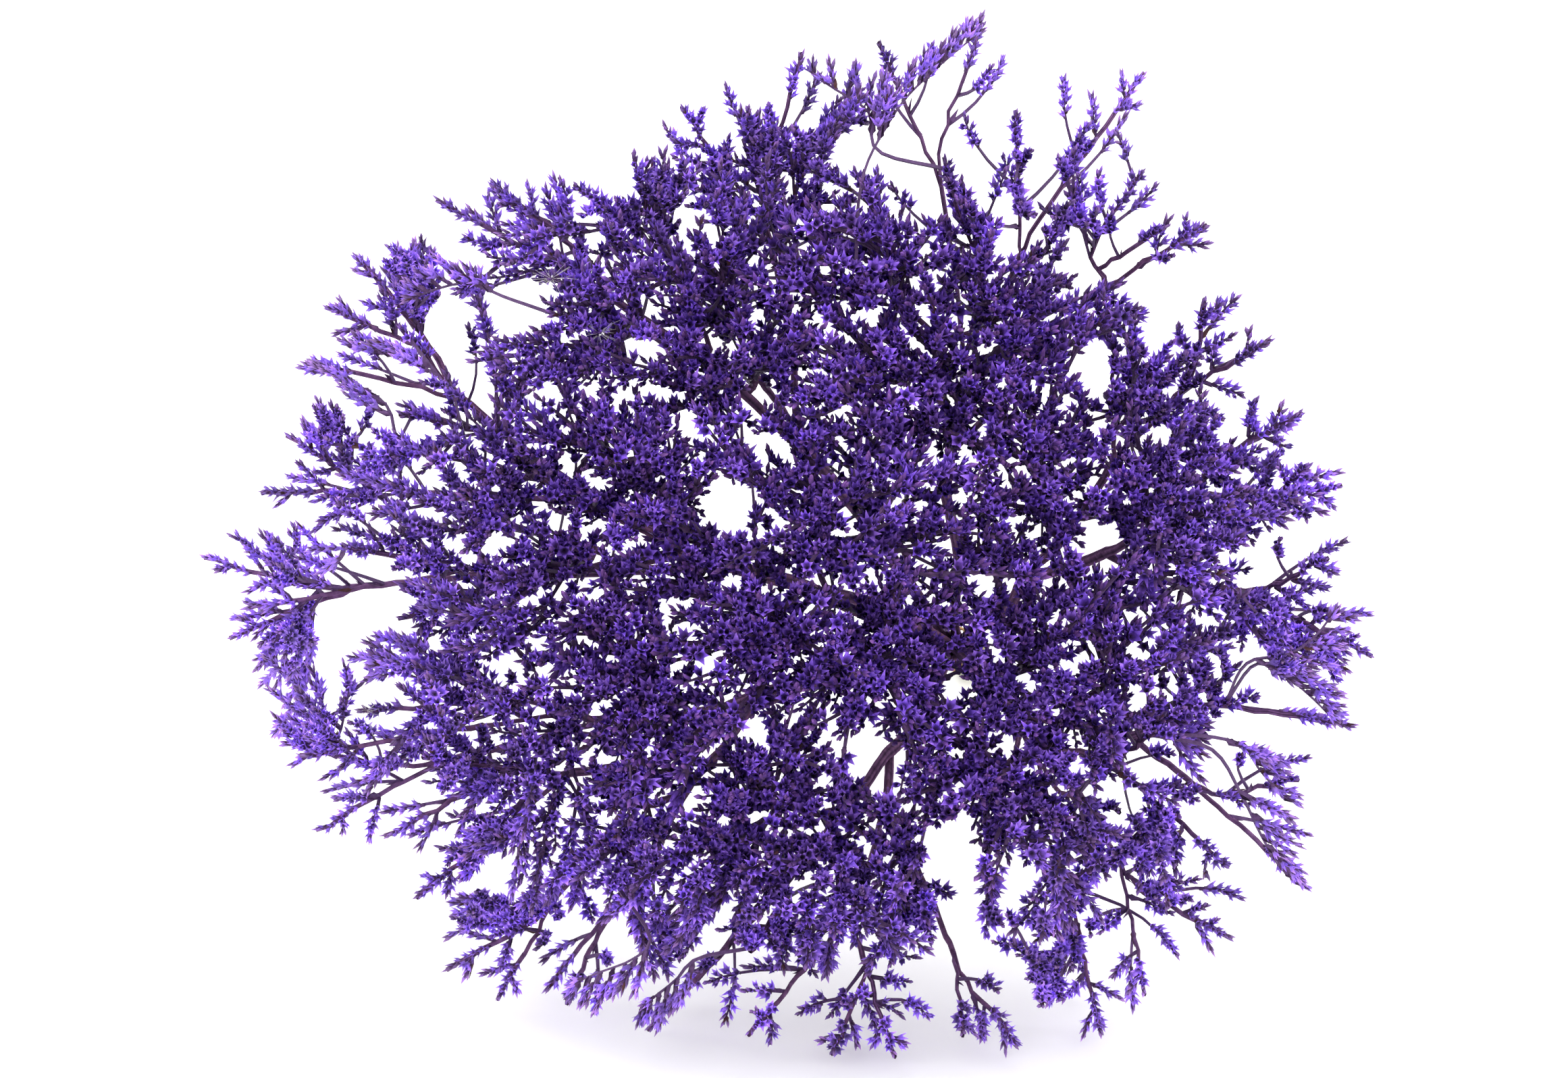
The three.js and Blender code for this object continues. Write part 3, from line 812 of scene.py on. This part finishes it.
roots, headings, owners = [], [], []
for stem in range(len(stems)):
    for points, stalks in zip(curves[stem], side_stalks[stem]):
        along = frames_along(points)[0]
        spike(stem, points[-LAST_TWIG_POINTS:], LAST_TWIG_SHARE)
        if math.hypot(*points[-1, :2]) > RIM_SPRAY and not near_arch(points[-1]):
            feather(stem, points, along)
        fan = stem_point(stem, FAN_BACK)
        for k in np.flatnonzero(points[:-1, 2] < FAN_BACK):
            roots.append(points[k])
            headings.append(along[k])
            owners.append(stem)
        for root, tip in stalks:
            k = int(np.argmin(np.linalg.norm(points - root, axis=1)))
            spike(stem, curved(points[k], tip, unit(tip - fan)))
            set_bract(stem, points[k], unit(tip - points[k]), unit(tip - fan))

for path in ARCHES:
    arch(path)

# The other spikes, the nearest to a root first. Each grows from the root that is near, heads its way and
# is not crowded, unless it would close a gap from there, and offers roots to those that follow.
ends = spike_ends()
room = ROOTS_PER_SPIKE * len(ends)
root_at = np.full((len(roots) + room, 3), np.inf)
root_heading = np.zeros((len(roots) + room, 3))
root_owner = np.zeros(len(roots) + room, int)
crowd = np.zeros(len(roots) + room)
root_at[: len(roots)], root_heading[: len(roots)], root_owner[: len(roots)] = roots, headings, owners
used = len(roots)
nearest = [np.min(np.linalg.norm(root_at[:used] - end, axis=1)) for end in ends]
for end in ends[np.argsort(nearest)]:
    reach = end - root_at[:used]
    distance = np.linalg.norm(reach, axis=1)
    steep = np.sum(reach * root_heading[:used], axis=1) / distance
    cost = distance * (1 + LEAN_COST * (1 - steep)) + crowd[:used]
    cost[(steep < STEEPEST) | (distance < LEAST_SPIKE)] = np.inf
    for k in np.argsort(cost)[:ROOT_CHOICES]:
        stem = root_owner[k]
        heading = unit(end - stem_point(stem, FAN_BACK))
        aside = square_to(heading, end - root_at[k])[0]
        points = curved(root_at[k], end, unit(heading + SPIKE_SPLAY * aside))
        shuts_one = closes_gap(points[-SPIKE_END:])
        if not shuts_one:
            break
    if shuts_one:
        continue
    spike(stem, points, chance.uniform(*SHARE_PLAY))
    set_bract(stem, root_at[k].copy(), unit(points[1] - points[0]), heading)
    crowd[:used] += CROWD_COST * (np.linalg.norm(root_at[:used] - root_at[k], axis=1) < CROWD_REACH)
    along = unit(np.gradient(points, axis=0))
    for j in range(1, SPIKE_BENDS - 1):
        if distance[k] * (1 - j / SPIKE_BENDS) > NEW_ROOT_LEAST:
            root_at[used], root_heading[used], root_owner[used] = points[j], along[j], stem
            used += 1

# The calyces and bracts themselves. A calyx is dry and papery: its teeth are the palest, and its throat is
# closed by a floor painted nearly black, as painted shade. Heights are shares of its length, and radii are in
# millimetres, first shut and then open.
CALYX_LENGTH = 5.9
TEETH = 5
NECK = (0.34, 0.66)
NOTCH = (0.66, 0.76, 1.32)
TOOTH = (1.00, 0.30, 2.45)
THROAT_HEIGHT = 0.22
SHUT_SIDES = 4
SHUT_NECK = (0.34, 0.72)
SHUT_CROWN = (0.66, 0.66)
SHUT_TIP = 1.04
HARDLY_OPEN = 0.12
FOOT_COLOUR = np.array([0.014, 0.007, 0.022])
NECK_COLOUR = np.array([0.064, 0.030, 0.136])
CROWN_COLOUR = np.array([0.143, 0.062, 0.43])
TOOTH_COLOUR = np.array([0.276, 0.134, 0.70])
THROAT_PAINTED_SHADE = np.array([0.007, 0.0035, 0.019])
BRACT_COLOUR = np.array([0.062, 0.031, 0.082])
STALK_COLOUR = np.array([0.070, 0.038, 0.096])
SHUT_DARKER = np.array([0.62, 0.55, 0.42])
RIM_PAINTED_BACKLIGHT_TINT = np.array([0.096, 0.082, 0.100])
RUST = np.array([0.058, 0.025, 0.026])
RUSTY_SHARE = 0.05
SHEATHS_FROM = 0.12
SHEATH_SIZE = 0.8
RAGGED_FROM = 0.6
RAGGED = (0.16, 0.04)
RAGGED_RISE = 0.25
CALYX_SHADES = (0.7, 1.3)
FADING = (-0.12, 0.22)
FADES_TO = np.array([1.0, 1.2, -0.1])
BRACT_SHAPE = np.array([
    (0.15, 0.0, -0.3), (0.3, 1.0, 1.2), (1.05, 0.0, 1.6), (0.3, -1.0, 1.2), (1.05, 0.0, 5.0),
])
BRACT_RAGGED = 0.1
BRACT_SHADES = (0.5, 2.2)
STALK_SIDES = 3
STALK_RADII = (0.75, 0.36)


def open_calyx():
    """The points of a calyx as (angle, height, radius shut, radius open, colour), and its triangles."""
    rows = [(0.0, 0.0, 0.0, 0.0, FOOT_COLOUR)]
    rows += [(2 * math.pi * k / TEETH, *NECK, NECK[1], NECK_COLOUR) for k in range(TEETH)]
    rows += [(2 * math.pi * (k + 0.5) / TEETH, *NOTCH, CROWN_COLOUR) for k in range(TEETH)]
    rows += [(2 * math.pi * k / TEETH, *TOOTH, TOOTH_COLOUR) for k in range(TEETH)]
    # The throat's floor is painted nearly black, as painted shade in the deep funnel.
    rows.append((0.0, THROAT_HEIGHT, 0.0, 0.0, THROAT_PAINTED_SHADE))
    foot, neck = 0, 1
    notch, tooth, throat = neck + TEETH, neck + 2 * TEETH, neck + 3 * TEETH
    faces = []
    for k in range(TEETH):
        here, beside = neck + k, neck + (k + 1) % TEETH
        after, before = notch + k, notch + (k - 1) % TEETH
        faces += [(foot, beside, here), (here, after, before), (here, beside, after)]
        faces += [(before, after, tooth + k), (throat, beside, here)]
    return rows, np.array(faces)


def shut_calyx():
    """The same of a calyx that has not opened, a pointed spindle."""
    rows = [(0.0, 0.0, 0.0, 0.0, FOOT_COLOUR)]
    turn = 2 * math.pi / SHUT_SIDES
    crown_colour = CROWN_COLOUR * SHUT_DARKER
    rows += [(turn * k, *SHUT_NECK, SHUT_NECK[1], NECK_COLOUR) for k in range(SHUT_SIDES)]
    rows += [(turn * (k + 0.5), *SHUT_CROWN, SHUT_CROWN[1], crown_colour) for k in range(SHUT_SIDES)]
    rows.append((0.0, SHUT_TIP, 0.0, 0.0, TOOTH_COLOUR * SHUT_DARKER))
    foot, neck, crown, tip = 0, 1, 1 + SHUT_SIDES, 1 + 2 * SHUT_SIDES
    faces = []
    for k in range(SHUT_SIDES):
        beside = (k + 1) % SHUT_SIDES
        faces += [(foot, neck + beside, neck + k), (neck + k, neck + beside, crown + k)]
        faces += [(neck + beside, crown + beside, crown + k), (crown + k, crown + beside, tip)]
    return rows, np.array(faces)


def calyx_skins(template, placed):
    """Calyces of one kind: points, triangles and colours."""
    rows, faces = template
    angle, height, shut, wide = (np.array([row[k] for row in rows]) for k in range(4))
    dye_and_painted_light = np.array([row[4] for row in rows])
    at, axis, beside = (np.array([one[k] for one in placed]) for k in range(3))
    size, open_share, tone = (np.array([one[k] for one in placed]) for k in (3, 4, 5))
    x = unit(beside - np.sum(beside * axis, axis=1, keepdims=True) * axis)
    y = np.cross(axis, x)
    rolled = angle[None] + chance.uniform(0, 2 * math.pi, (len(placed), 1))
    radius = size[:, None] * (shut + open_share[:, None] * (wide - shut))
    ragged = np.where(height > RAGGED_FROM, *RAGGED)
    radius = radius * (1 + chance.normal(0.0, 1.0, radius.shape) * ragged)
    rise = CALYX_LENGTH * size[:, None] * (height + chance.normal(0.0, RAGGED_RISE, radius.shape) * ragged)
    points = (
        at[:, None] + (radius * np.cos(rolled))[..., None] * x[:, None]
        + (radius * np.sin(rolled))[..., None] * y[:, None] + rise[..., None] * axis[:, None]
    )
    # Towards the rim the calyces are painted lighter and paler, as painted backlight.
    painted_backlight_share = at_rim(at)[:, None, None]
    shade = chance.uniform(*CALYX_SHADES, (len(placed), 1, 1))
    bright = shade * tone[:, None, None] * (1 + RIM_PAINTED_BACKLIGHT * painted_backlight_share)
    faded = chance.uniform(*FADING, (len(placed), 1, 1)) * FADES_TO
    colours = dye_and_painted_light[None] * bright * (1 + faded) + painted_backlight_share * RIM_PAINTED_BACKLIGHT_TINT
    numbers = faces[None] + len(rows) * np.arange(len(placed))[:, None, None]
    return points.reshape(-1, 3), numbers.reshape(-1, 3), colours.reshape(-1, 3)


def bract_skins(placed):
    """Pointed, keeled scales: points, triangles and colours. Each lies along an axis, with its keel outwards."""
    faces = np.array([(0, 2, 1), (0, 3, 2), (1, 2, 4), (2, 3, 4)])
    at, axis, out = (np.array([one[k] for one in placed]) for k in range(3))
    size = np.array([one[3] for one in placed])
    x = unit(out - np.sum(out * axis, axis=1, keepdims=True) * axis)
    y = np.cross(axis, x)
    ragged = 1 + chance.normal(0.0, BRACT_RAGGED, (len(placed), len(BRACT_SHAPE), 3))
    local = BRACT_SHAPE[None] * size[:, None, None] * ragged
    points = at[:, None] + sum(local[..., k, None] * side[:, None] for k, side in enumerate((x, y, axis)))
    rusty = chance.uniform(0, 1, (len(placed), 1, 1)) < RUSTY_SHARE
    shade = chance.uniform(*BRACT_SHADES, (len(placed), len(BRACT_SHAPE), 1))
    colours = np.where(rusty, RUST, BRACT_COLOUR) * shade
    numbers = faces[None] + len(BRACT_SHAPE) * np.arange(len(placed))[:, None, None]
    return points.reshape(-1, 3), numbers.reshape(-1, 3), colours.reshape(-1, 3)


paper, paper_shader = new_material("dyed calyx", roughness=0.6, specular=0.1)
dyed(paper, paper_shader, scale=900.0, depth=0.25, bump=0.5)

for stem in range(len(stems)):
    rim = at_rim(np.array([one[0] for one in calyces[stem]]))
    sheaths = [
        (at, axis, -np.cross(axis, beside), SHEATH_SIZE * size)
        for (at, axis, beside, size, _, _), near in zip(calyces[stem], rim)
        if near > SHEATHS_FROM
    ]
    skins, paints, faces, count = [], [], [], 0
    for points in stalks_of[stem]:
        skin, _ = tube(points, np.linspace(*STALK_RADII, len(points)), STALK_SIDES, False)
        skins.append(skin)
        # The stalks too are painted lighter towards the rim, as painted backlight.
        paints.append(STALK_COLOUR * (1 + RIM_PAINTED_BACKLIGHT * at_rim(skin))[:, None])
        faces += tube_faces(len(points), STALK_SIDES, count).tolist()
        count += len(skin)
    shut = [one for one in calyces[stem] if one[4] < HARDLY_OPEN]
    opened = [one for one in calyces[stem] if one[4] >= HARDLY_OPEN]
    kinds = [
        calyx_skins(open_calyx(), opened),
        calyx_skins(shut_calyx(), shut),
        bract_skins(sheaths + bracts[stem]),
    ]
    for points, triangles, colours in kinds:
        skins.append(points)
        paints.append(colours)
        faces += (triangles + count).tolist()
        count += len(points)
    piece = mesh_piece(
        f"stem_{stem + 1}_calyces", np.vstack(skins), faces, np.vstack(paints), paper, False,
    )
    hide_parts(f"stem_{stem + 1}")

# The rubber band. It is a plain loop of tan rubber, wound four times round the stems near their cut ends and
# slipped back over its own turns. Stretched over the stems, it runs straight from each to the next.
BAND_TURNS = 4
BAND_CROSSING = 0.12
BAND_STEPS = 192
BAND_SECTION = [
    (0.95, 0.25), (0.95, -0.25), (0.70, -0.50), (-0.70, -0.50),
    (-0.95, -0.25), (-0.95, 0.25), (-0.70, 0.50), (0.70, 0.50),
]
BAND_SPREAD = 2.9
BAND_LIFT = 1.1
BAND_WEAR = 0.03
BAND_COLOUR = np.array([0.40, 0.235, 0.095])
BAND_SHADES = (0.9, 1.1)


def band_middle():
    """The loop that the middle of the rubber follows round the stems, and its angle at each step."""
    t = np.arange(BAND_STEPS) / BAND_STEPS
    angle = 2 * math.pi * BAND_TURNS * t
    crossing = np.clip((t - (1 - BAND_CROSSING)) / BAND_CROSSING, 0, 1)
    winding = 2 * t / (1 - BAND_CROSSING) - 1
    slide = np.where(crossing > 0, 1 - 2 * eased(crossing), winding)
    from_stem = (angle / (2 * math.pi) * RING_STEMS - FIRST_STEM + 0.5) % 1 - 0.5
    between = (0.5 - np.abs(from_stem)) * 2 * math.pi / RING_STEMS
    straight = (TIE_RING * math.cos(math.pi / RING_STEMS) + STEM_RADIUS) / np.cos(between)
    reach = np.minimum(straight, TIE_RING + STEM_RADIUS) + BAND_SECTION[-1][1]
    reach = reach + BAND_LIFT * np.sin(math.pi * crossing) ** 0.5
    back = CUT_END * BAND_BACK / CUT_END[2]
    points = back + np.column_stack([reach * np.cos(angle), reach * np.sin(angle), BAND_SPREAD * slide])
    points[:, :2] += (CUT_END[:2] / CUT_END[2]) * (BAND_SPREAD * slide)[:, None]
    return points, angle


band_points, band_angle = band_middle()
outward = np.column_stack([np.cos(band_angle), np.sin(band_angle), np.zeros(BAND_STEPS)])
along_stems = unit(CUT_END)
band_edges = [band_points + wide * along_stems + thick * outward for wide, thick in BAND_SECTION]
band_skin = np.stack(band_edges, axis=1).reshape(-1, 3)
band_skin = band_skin + chance.normal(0.0, BAND_WEAR, band_skin.shape)
band_faces = tube_faces(BAND_STEPS + 1, len(BAND_SECTION), 0) % len(band_skin)
band_paint = BAND_COLOUR * chance.uniform(*BAND_SHADES, (len(band_skin), 1))
rubber, rubber_shader = new_material("tan rubber", roughness=0.5, specular=0.15)
dyed(rubber, rubber_shader, scale=600.0, depth=0.12, bump=0.25)
band = mesh_piece(
    "rubber_band_turns", band_skin, band_faces.tolist(), band_paint, rubber, True,
)
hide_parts("rubber_band")

# Thistle down. A few tufts of pale, silky hairs have blown in from other flowers and hang on the calyces.
DOWN_PLACES = [(-119, -52), (-70, 81), (-54, 62)]
DOWN_HAIRS = 34
DOWN_LENGTH = (4.0, 9.0)
DOWN_RADIUS = 0.07
DOWN_TAPER = 0.5
DOWN_BOW = 0.8
DOWN_POINTS = 4
DOWN_SIDES = 3
DOWN_NEAR = 5.0
DOWN_COLOUR = np.array([0.62, 0.58, 0.60])

silk, silk_shader = new_material("thistle silk", roughness=0.4, specular=0.2)
dyed(silk, silk_shader, scale=300.0, depth=0.1, bump=0.1)
perches = np.array([one[0] for placed in calyces for one in placed])
seen = place_on_face(perches)
along_hair = np.linspace(0, 1, DOWN_POINTS)[:, None]
hair_radii = DOWN_RADIUS * np.linspace(1.0, DOWN_TAPER, DOWN_POINTS)
skins, faces = [], []
for place in DOWN_PLACES:
    near = np.flatnonzero(np.hypot(*(seen - place).T) < DOWN_NEAR)
    perch = perches[near[np.argmin(perches[near, 2])]]
    for _ in range(DOWN_HAIRS):
        out = unit(chance.normal(0.0, 1.0, 3) + TOWARDS_FACE)
        bow = chance.normal(0.0, DOWN_BOW, 3)
        reach = chance.uniform(*DOWN_LENGTH) * along_hair
        hair = perch + reach * out + bow * along_hair ** 2
        faces += tube_faces(DOWN_POINTS, DOWN_SIDES, DOWN_POINTS * DOWN_SIDES * len(skins)).tolist()
        skins.append(tube(hair, hair_radii, DOWN_SIDES, False)[0])
skins = np.vstack(skins)
mesh_piece(
    "thistle_down", skins, faces, np.tile(DOWN_COLOUR, (len(skins), 1)), silk, True,
)

# The floor is a wide, pale sheet, and the light is even and white all round.
FLOOR_SIZE = 12.0
FLOOR_COLOUR = (0.96, 0.96, 0.96, 1.0)
LIGHT_COLOUR = (1.0, 1.0, 1.0, 1.0)
LIGHT_STRENGTH = 2.0

bpy.ops.mesh.primitive_plane_add(size=FLOOR_SIZE)
floor = bpy.context.object
floor.name = "floor"
floor_paint, floor_shader = new_material("floor", roughness=0.9, specular=0.1)
floor_shader.inputs["Base Color"].default_value = FLOOR_COLOUR
floor.data.materials.append(floor_paint)

world = bpy.data.worlds.new("light")
world.use_nodes = True
background = world.node_tree.nodes["Background"]
background.inputs["Color"].default_value = LIGHT_COLOUR
background.inputs["Strength"].default_value = LIGHT_STRENGTH
bpy.context.scene.world = world
bpy.context.scene.view_settings.view_transform = "Standard"
